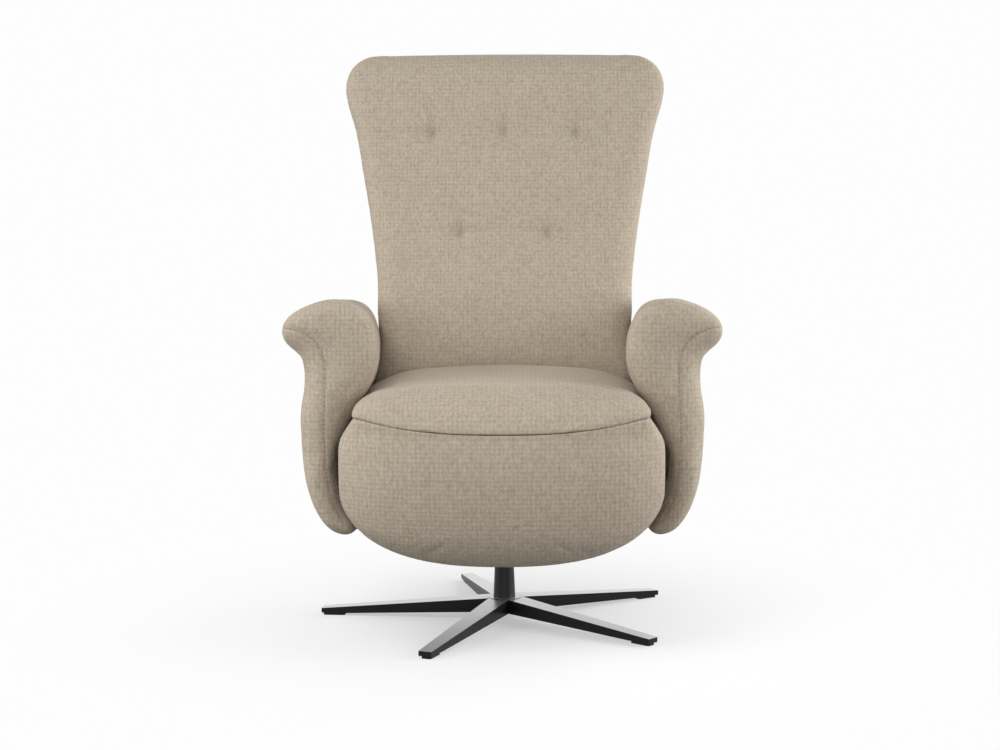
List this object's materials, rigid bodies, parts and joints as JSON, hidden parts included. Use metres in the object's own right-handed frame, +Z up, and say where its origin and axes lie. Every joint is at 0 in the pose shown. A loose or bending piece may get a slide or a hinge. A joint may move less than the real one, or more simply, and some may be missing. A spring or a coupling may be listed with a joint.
{
  "type": "swivel recliner",
  "caption": "Upholstered swivel recliner with a tufted fan-shaped back, a footrest that folds out as the back reclines, an adjustable head and a star base.",
  "frame": {"origin": "on the floor, under the swivel axis", "axes": "+Z up along the swivel axis, -Y the way the chair faces, +X to the left of a person sitting in it"},
  "size_m": [0.7848, 0.8426, 1.1059],
  "materials": {
    "cover_fabric": "woven, matte",
    "polished_aluminium": "polished top, black flanks",
    "black_column": "satin black",
    "black_plastic": "matte",
    "bush_plastic": "natural",
    "plain_steel": "zinc plated",
    "black_steel": "black powder coat",
    "plywood": "raw birch plywood",
    "elastic_strap": "elastic webbing"
  },
  "bodies": {
    "base": {"star_base": "polished_aluminium", "foot_glides": "black_plastic", "column": "black_column", "lower_bush": "bush_plastic", "upper_bush": "bush_plastic", "thrust_ring": "bush_plastic"},
    "seat": {"swivel_plate": "black_steel", "retaining_ring": "plain_steel", "swivel_bolts": "plain_steel", "front_cross_tube": "black_steel", "rear_cross_tube": "black_steel", "left_side_rail": "black_steel", "right_side_rail": "black_steel", "seat_frame": "plywood", "seat_straps": "elastic_strap", "seat_cushion": "cover_fabric", "front_border": "cover_fabric", "left_arm_core": "plywood", "right_arm_core": "plywood", "left_arm_mounts": "black_steel", "right_arm_mounts": "black_steel", "left_arm_cushion": "cover_fabric", "right_arm_cushion": "cover_fabric", "rear_apron": "cover_fabric", "gas_clevis": "black_steel", "gas_pin": "plain_steel", "lever_stub": "plain_steel", "back_pivots": "plain_steel", "footrest_pivots": "plain_steel"},
    "footrest": {"footrest_cushion": "cover_fabric", "footrest_board": "plywood", "left_footrest_arm": "black_steel", "right_footrest_arm": "black_steel", "crank_pins": "plain_steel"},
    "back": {"back_cushion": "cover_fabric", "neck_pad": "cover_fabric", "back_frame": "plywood", "back_straps": "elastic_strap", "left_back_plate": "black_steel", "right_back_plate": "black_steel", "lever_shaft": "plain_steel", "back_cover": "cover_fabric", "back_hinge_straps": "black_steel", "head_pins": "plain_steel"},
    "head": {"head_cushion": "cover_fabric", "head_cover": "cover_fabric", "head_frame": "plywood", "head_hinge_straps": "black_steel"},
    "sync_links": {"left_sync_link": "black_steel", "right_sync_link": "black_steel"},
    "gas_cylinder": {"gas_cylinder": "black_steel"},
    "gas_rod": {"gas_rod": "plain_steel"},
    "release_lever": {"release_lever": "black_steel"}
  },
  "joints": [
    {"name": "swivel", "type": "hinge", "parent": "base", "child": "seat", "pos_m": [0, 0, 0], "axis": [0, 0, 1], "continuous": true},
    {"name": "recline", "type": "hinge", "parent": "seat", "child": "back", "pos_m": [0, 0.19, 0.415], "axis": [-1, 0, 0], "range_deg": [0, 40]},
    {"name": "footrest_swing", "type": "hinge", "parent": "seat", "child": "footrest", "pos_m": [0, -0.345, 0.3925], "axis": [-1, 0, 0], "range_deg": [0, 76], "deforming": ["front_border"]},
    {"name": "link_pivot", "type": "hinge", "parent": "back", "child": "sync_links", "pos_m": [0, 0.23002, 0.30505], "axis": [-1, 0, 0], "range_deg": [-40, 0]},
    {"name": "gas_pivot", "type": "hinge", "parent": "seat", "child": "gas_cylinder", "pos_m": [0, -0.112, 0.291], "axis": [1, 0, 0], "range_deg": [0, 1]},
    {"name": "gas_stroke", "type": "slide", "parent": "gas_cylinder", "child": "gas_rod", "axis": [0, 0.9992, 0.041], "range_m": [-0.082, 0]},
    {"name": "head_tilt", "type": "hinge", "parent": "back", "child": "head", "pos_m": [0, 0.35901, 0.9165], "axis": [1, 0, 0], "range_deg": [0, 25], "deforming": ["neck_pad"]},
    {"name": "release", "type": "hinge", "parent": "seat", "child": "release_lever", "pos_m": [0, 0.012, 0.257], "axis": [-1, 0, 0], "range_deg": [0, 18], "stiffness_Nm_per_rad": 1.5, "springref_deg": -17.19}
  ],
  "couplings": [
    {"joint": "footrest_swing", "follows": "recline", "ratio": 1.9},
    {"joint": "link_pivot", "follows": "recline", "ratio": -1},
    {"joint": "gas_pivot", "follows": "recline", "ratio": 0.017938},
    {"joint": "gas_stroke", "follows": "recline", "m_per_rad": -0.11452}
  ]
}
